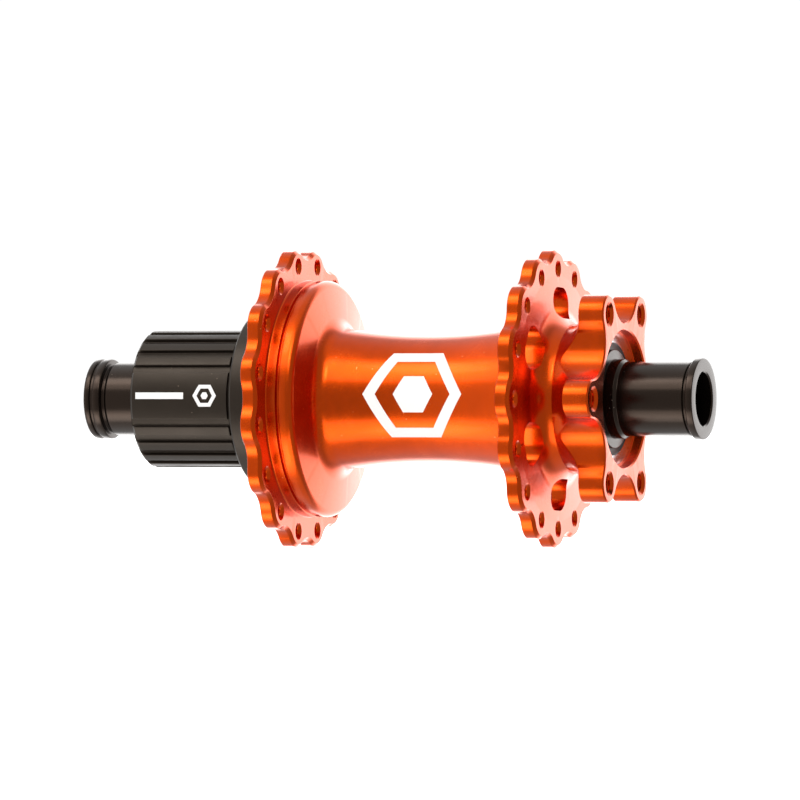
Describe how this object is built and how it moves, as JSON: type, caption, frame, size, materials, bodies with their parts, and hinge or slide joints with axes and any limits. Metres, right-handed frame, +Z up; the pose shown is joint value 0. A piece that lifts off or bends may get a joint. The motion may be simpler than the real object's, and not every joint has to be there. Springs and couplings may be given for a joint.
{
  "type": "rear bicycle hub",
  "caption": "Rear bicycle hub with two drilled spoke flanges, a six-bolt disc mount, a splined freehub with a pawl ratchet, and push-in end caps for a through axle.",
  "frame": {"origin": "on the axle's centre line, midway between the two end faces", "axes": "+Y along the axle from the cassette side to the brake disc side, +Z up, +X towards the front of the bicycle"},
  "size_m": [0.0678, 0.148, 0.0678],
  "materials": {
    "orange_anodised": "satin orange anodised aluminium",
    "black_anodised": "satin black anodised aluminium",
    "clear_anodised": "turned, clear anodised",
    "bearing_steel": "ground and polished",
    "tool_steel": "machined, lightly greased",
    "spring_steel": "bare strip",
    "black_rubber": "moulded",
    "cage_polymer": "moulded nylon"
  },
  "bodies": {
    "axle_assembly": {"axle": "clear_anodised", "drive_end_cap": "black_anodised", "disc_end_cap": "black_anodised", "drive_cap_o_ring": "black_rubber", "disc_cap_o_ring": "black_rubber", "freehub_spacer": "clear_anodised", "middle_spacer": "clear_anodised", "outboard_bearing_inner_race": "bearing_steel", "inboard_bearing_inner_race": "bearing_steel", "drive_bearing_inner_race": "bearing_steel", "disc_bearing_inner_race": "bearing_steel"},
    "shell_assembly": {"hub_shell": "orange_anodised", "drive_ring": "tool_steel", "drive_seal": "black_rubber", "drive_bearing_outer_race": "bearing_steel", "drive_bearing_seals": "black_rubber", "disc_bearing_outer_race": "bearing_steel", "disc_bearing_seals": "black_rubber"},
    "freehub_assembly": {"freehub_body": "black_anodised", "pawl_retainer": "black_anodised", "pawl_springs": "spring_steel", "outboard_bearing_outer_race": "bearing_steel", "outboard_bearing_seals": "black_rubber", "inboard_bearing_outer_race": "bearing_steel", "inboard_bearing_seals": "black_rubber"},
    "outboard_ball_set": {"outboard_bearing_balls": "bearing_steel", "outboard_bearing_cage": "cage_polymer"},
    "inboard_ball_set": {"inboard_bearing_balls": "bearing_steel", "inboard_bearing_cage": "cage_polymer"},
    "drive_ball_set": {"drive_bearing_balls": "bearing_steel", "drive_bearing_cage": "cage_polymer"},
    "disc_ball_set": {"disc_bearing_balls": "bearing_steel", "disc_bearing_cage": "cage_polymer"},
    "pawl_1_arm": {"pawl_1": "tool_steel"},
    "pawl_2_arm": {"pawl_2": "tool_steel"},
    "pawl_3_arm": {"pawl_3": "tool_steel"},
    "pawl_4_arm": {"pawl_4": "tool_steel"},
    "pawl_5_arm": {"pawl_5": "tool_steel"},
    "pawl_6_arm": {"pawl_6": "tool_steel"}
  },
  "joints": [
    {"name": "shell_spin", "type": "hinge", "parent": "axle_assembly", "child": "shell_assembly", "pos_m": [0, 0, 0], "axis": [0, 1, 0], "continuous": true},
    {"name": "freehub_spin", "type": "hinge", "parent": "axle_assembly", "child": "freehub_assembly", "pos_m": [0, -0.04, 0], "axis": [0, 1, 0], "continuous": true},
    {"name": "outboard_cage_spin", "type": "hinge", "parent": "axle_assembly", "child": "outboard_ball_set", "pos_m": [0, -0.0505, 0], "axis": [0, 1, 0], "continuous": true},
    {"name": "inboard_cage_spin", "type": "hinge", "parent": "axle_assembly", "child": "inboard_ball_set", "pos_m": [0, -0.0215, 0], "axis": [0, 1, 0], "continuous": true},
    {"name": "drive_cage_spin", "type": "hinge", "parent": "axle_assembly", "child": "drive_ball_set", "pos_m": [0, -0.013, 0], "axis": [0, 1, 0], "continuous": true},
    {"name": "disc_cage_spin", "type": "hinge", "parent": "axle_assembly", "child": "disc_ball_set", "pos_m": [0, 0.0487, 0], "axis": [0, 1, 0], "continuous": true},
    {"name": "pawl_1_swing", "type": "hinge", "parent": "freehub_assembly", "child": "pawl_1_arm", "pos_m": [0.0174, -0.0209, 0], "axis": [0, -1, 0], "range_deg": [-3.5, 6.5], "stiffness_Nm_per_rad": 0.03},
    {"name": "pawl_2_swing", "type": "hinge", "parent": "freehub_assembly", "child": "pawl_2_arm", "pos_m": [0.0087, -0.0209, -0.01507], "axis": [0, -1, 0], "range_deg": [-3.5, 6.5], "stiffness_Nm_per_rad": 0.03},
    {"name": "pawl_3_swing", "type": "hinge", "parent": "freehub_assembly", "child": "pawl_3_arm", "pos_m": [-0.0087, -0.0209, -0.01507], "axis": [0, -1, 0], "range_deg": [-3.5, 6.5], "stiffness_Nm_per_rad": 0.03},
    {"name": "pawl_4_swing", "type": "hinge", "parent": "freehub_assembly", "child": "pawl_4_arm", "pos_m": [-0.0174, -0.0209, 0], "axis": [0, -1, 0], "range_deg": [-3.5, 6.5], "stiffness_Nm_per_rad": 0.03},
    {"name": "pawl_5_swing", "type": "hinge", "parent": "freehub_assembly", "child": "pawl_5_arm", "pos_m": [-0.0087, -0.0209, 0.01507], "axis": [0, -1, 0], "range_deg": [-3.5, 6.5], "stiffness_Nm_per_rad": 0.03},
    {"name": "pawl_6_swing", "type": "hinge", "parent": "freehub_assembly", "child": "pawl_6_arm", "pos_m": [0.0087, -0.0209, 0.01507], "axis": [0, -1, 0], "range_deg": [-3.5, 6.5], "stiffness_Nm_per_rad": 0.03}
  ],
  "couplings": [
    {"joint": "outboard_cage_spin", "follows": "freehub_spin", "ratio": 0.5553},
    {"joint": "inboard_cage_spin", "follows": "freehub_spin", "ratio": 0.5553},
    {"joint": "drive_cage_spin", "follows": "shell_spin", "ratio": 0.5689},
    {"joint": "disc_cage_spin", "follows": "shell_spin", "ratio": 0.5766}
  ]
}
